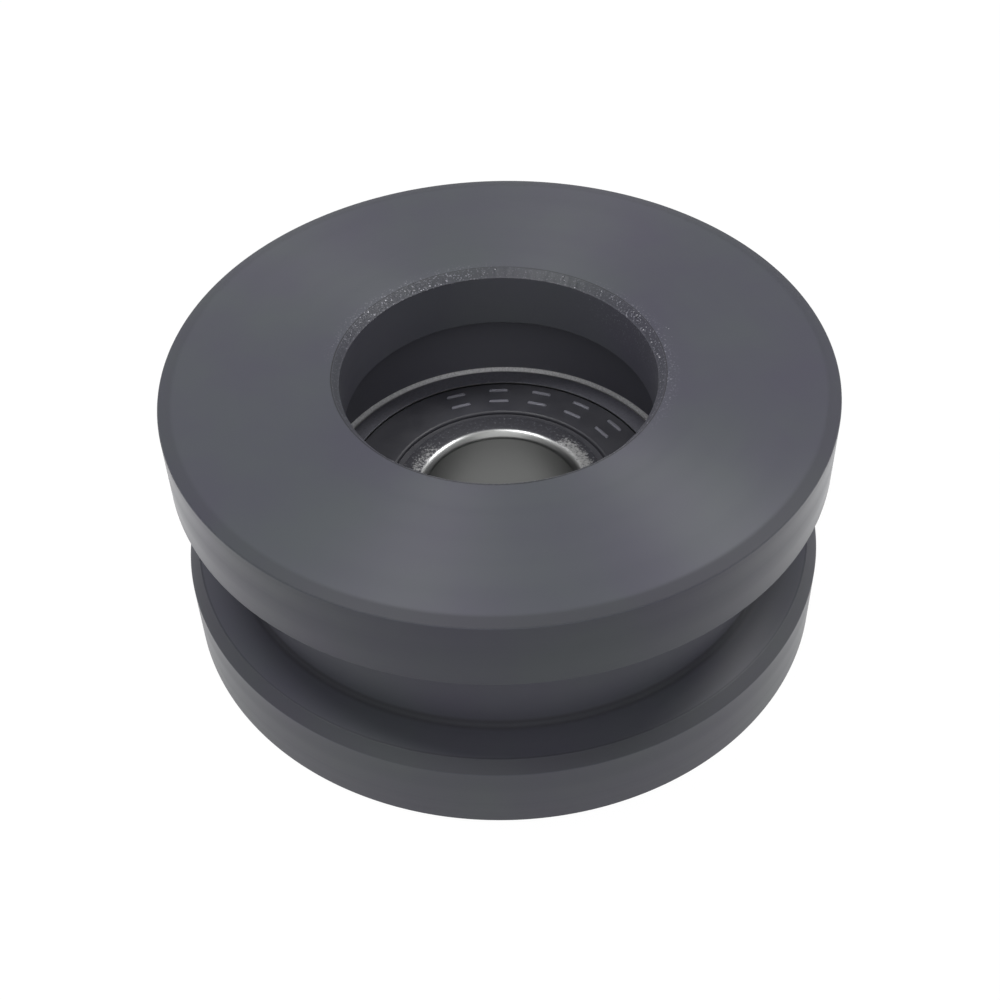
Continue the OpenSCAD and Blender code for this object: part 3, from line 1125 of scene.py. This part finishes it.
def white_floor():
    material, tree, shader = start_material("studio_floor", {"Roughness": 0.9})
    shader.inputs["Base Color"].default_value = linear(FLOOR_COLOUR)
    place = object_place(tree)
    depth = add_node(tree, "ShaderNodeSeparateXYZ", {0: place}).outputs[1]
    from_axis = ring_place(tree, place)[1]
    towards_back = add_node(
        tree,
        "ShaderNodeMapRange",
        {0: depth, 1: FLOOR_FRONT_Y, 2: FLOOR_BACK_Y, 3: FLOOR_FRONT, 4: FLOOR_BACK},
    )
    outside = smooth_step(tree, from_axis, 22 * MM, WHEEL_R + 2 * MM)
    beneath = smooth_step(tree, from_axis, 0.3 * BORE_R, BORE_R, FLOOR_UNDER_BORE, FLOOR_UNDER_WHEEL)
    mirrored = product(tree, towards_back.outputs[0], largest(tree, outside, beneath))
    path = add_node(tree, "ShaderNodeLightPath")
    seen = path.outputs["Is Camera Ray"]
    under = smooth_step(tree, from_axis, WHEEL_R - 6 * MM, WHEEL_R - 1 * MM, 1.0, 0.0)
    upwards = product(tree, path.outputs["Is Diffuse Ray"], under)
    unseen = add_node(tree, "ShaderNodeMix", {0: upwards, 2: mirrored, 3: FLOOR_UPWARDS})
    strength = add_node(tree, "ShaderNodeMix", {0: seen, 2: unseen.outputs[0], 3: FLOOR_SEEN})
    glow = add_node(tree, "ShaderNodeEmission", {"Color": linear("#ffffff"), "Strength": strength.outputs[0]})
    glowing = largest(tree, seen, path.outputs["Is Glossy Ray"], upwards)
    share = product(tree, glowing, GLOW_SHARE)
    mixed = add_node(tree, "ShaderNodeMixShader", {0: share, 1: shader.outputs[0], 2: glow.outputs[0]})
    # From below the sweep is clear, so that it doesn't hide the wheel's other end.
    from_below = add_node(tree, "ShaderNodeNewGeometry").outputs["Backfacing"]
    clear = add_node(tree, "ShaderNodeBsdfTransparent")
    one_sided = add_node(
        tree, "ShaderNodeMixShader", {0: from_below, 1: mixed.outputs[0], 2: clear.outputs[0]}
    )
    tree.links.new(one_sided.outputs[0], tree.nodes["Material Output"].inputs[0])
    return material


floor_mesh = bpy.data.meshes.new("floor")
half = FLOOR_SIZE / 2
floor_corners = [(-half, -half), (half, -half), (half, half), (-half, half)]
floor_mesh.from_pydata([(x, y, FLOOR_Z) for x, y in floor_corners], [], [(0, 1, 2, 3)])
floor_mesh.materials.append(white_floor())
floor = bpy.data.objects.new("floor", floor_mesh)
bpy.context.scene.collection.objects.link(floor)
print(f"floor at {FLOOR_Z / MM:.2f} mm")

# %% [markdown]
# The room is a plain white world. Reflections find it darker behind the camera, and diffuse rays get little
# from it. Each soft box is two lamps: one that lights things and isn't mirrored, and near it a glint that is
# only mirrored. So the rays on the turned faces can be strong while the light on the wheel stays at a plain
# level, at which each colour renders about as it is written.

# %% Room
# How bright it is in reflections, and how far to the front or back they have to look for that.
ROOM_FRONT, ROOM_FRONT_Y = 0.4, -0.2
ROOM_BACK, ROOM_BACK_Y = 0.6, 0.7
ROOM_DIFFUSE = 0.35


def room_light():
    world = bpy.data.worlds.new("room")
    bpy.context.scene.world = world
    world.use_nodes = True
    tree = world.node_tree
    tree.nodes.clear()
    path = add_node(tree, "ShaderNodeLightPath").outputs
    direction = add_node(tree, "ShaderNodeTexCoord").outputs["Generated"]
    depth = add_node(tree, "ShaderNodeSeparateXYZ", {0: direction}).outputs[1]
    mirrored = add_node(
        tree,
        "ShaderNodeMapRange",
        {0: depth, 1: ROOM_FRONT_Y, 2: ROOM_BACK_Y, 3: ROOM_FRONT, 4: ROOM_BACK},
    )
    unseen = add_node(
        tree, "ShaderNodeMix", {0: path["Is Glossy Ray"], 2: ROOM_DIFFUSE, 3: mirrored.outputs[0]}
    )
    # Where the camera looks past the wheel the room is as white as the floor.
    strength = add_node(
        tree, "ShaderNodeMix", {0: path["Is Camera Ray"], 2: unseen.outputs[0], 3: FLOOR_SEEN}
    )
    light = add_node(
        tree, "ShaderNodeBackground", {"Color": linear("#ffffff"), "Strength": strength.outputs[0]}
    )
    output = add_node(tree, "ShaderNodeOutputWorld")
    tree.links.new(light.outputs[0], output.inputs[0])


room_light()
print("room mirrored at", ROOM_FRONT, "to", ROOM_BACK)


# %% Lamps
BOX_WIDTH = 0.22
BOX_DISTANCE = 0.8
CARD_WIDTH = 0.6
CARD_DISTANCE = 0.6


def soft_box(name, azimuth, elevation, width, distance, power, lights=True, mirrored=True):
    """A round soft box that looks at the wheel. Angles are in degrees, lengths in metres, power in watts. One
    that only shows in mirroring surfaces draws the rays on the turned faces and adds no light of its own."""
    turn_by, lift_by = math.radians(azimuth), math.radians(elevation)
    direction = Vector(
        (math.cos(lift_by) * math.cos(turn_by), math.cos(lift_by) * math.sin(turn_by), math.sin(lift_by))
    )
    light = bpy.data.lights.new(name, "AREA")
    light.shape = "DISK"
    light.size = width
    light.energy = power
    lamp = bpy.data.objects.new(name, light)
    lamp.location = direction * distance
    lamp.rotation_mode = "QUATERNION"
    lamp.rotation_quaternion = direction.to_track_quat("Z", "Y")
    lamp.visible_diffuse = lights
    lamp.visible_glossy = mirrored
    bpy.context.scene.collection.objects.link(lamp)
    return lamp


soft_box("soft_box_left", 180, 72, BOX_WIDTH, BOX_DISTANCE, 2.0, mirrored=False)
soft_box("soft_box_back", 22, 74, BOX_WIDTH, BOX_DISTANCE, 1.75, mirrored=False)
soft_box("card_by_lens", 270, 45, CARD_WIDTH, CARD_DISTANCE, 0.67)
soft_box("glint_left", 180, 76, BOX_WIDTH, BOX_DISTANCE, 3.0, lights=False)
soft_box("glint_back", 22, 57, BOX_WIDTH, BOX_DISTANCE, 3.2, lights=False)
print("lamps: left and back soft box, their glints, card by the lens")


# %% Camera
AIM = Vector((-0.22, 0.0, -3.98)) * MM
DISTANCE = 177.6 * MM
ELEVATION = math.radians(44.77)
ROLL = math.radians(-1.68)
LENS = 57.3

view_from = Vector((0.0, -math.cos(ELEVATION), math.sin(ELEVATION)))
camera_data = bpy.data.cameras.new("camera")
camera_data.lens = LENS
camera_data.sensor_width = 36.0
camera_data.clip_start = 0.01
camera = bpy.data.objects.new("camera", camera_data)
camera.location = AIM + view_from * DISTANCE
camera.rotation_mode = "QUATERNION"
tilt = Euler((math.radians(90) - ELEVATION, 0.0, 0.0)).to_quaternion()
camera.rotation_quaternion = tilt @ Quaternion((0.0, 0.0, 1.0), ROLL)
bpy.context.scene.collection.objects.link(camera)
bpy.context.scene.camera = camera
bpy.context.scene.view_settings.view_transform = "Standard"
print(f"camera {DISTANCE / MM:.0f} mm away, {LENS} mm lens")
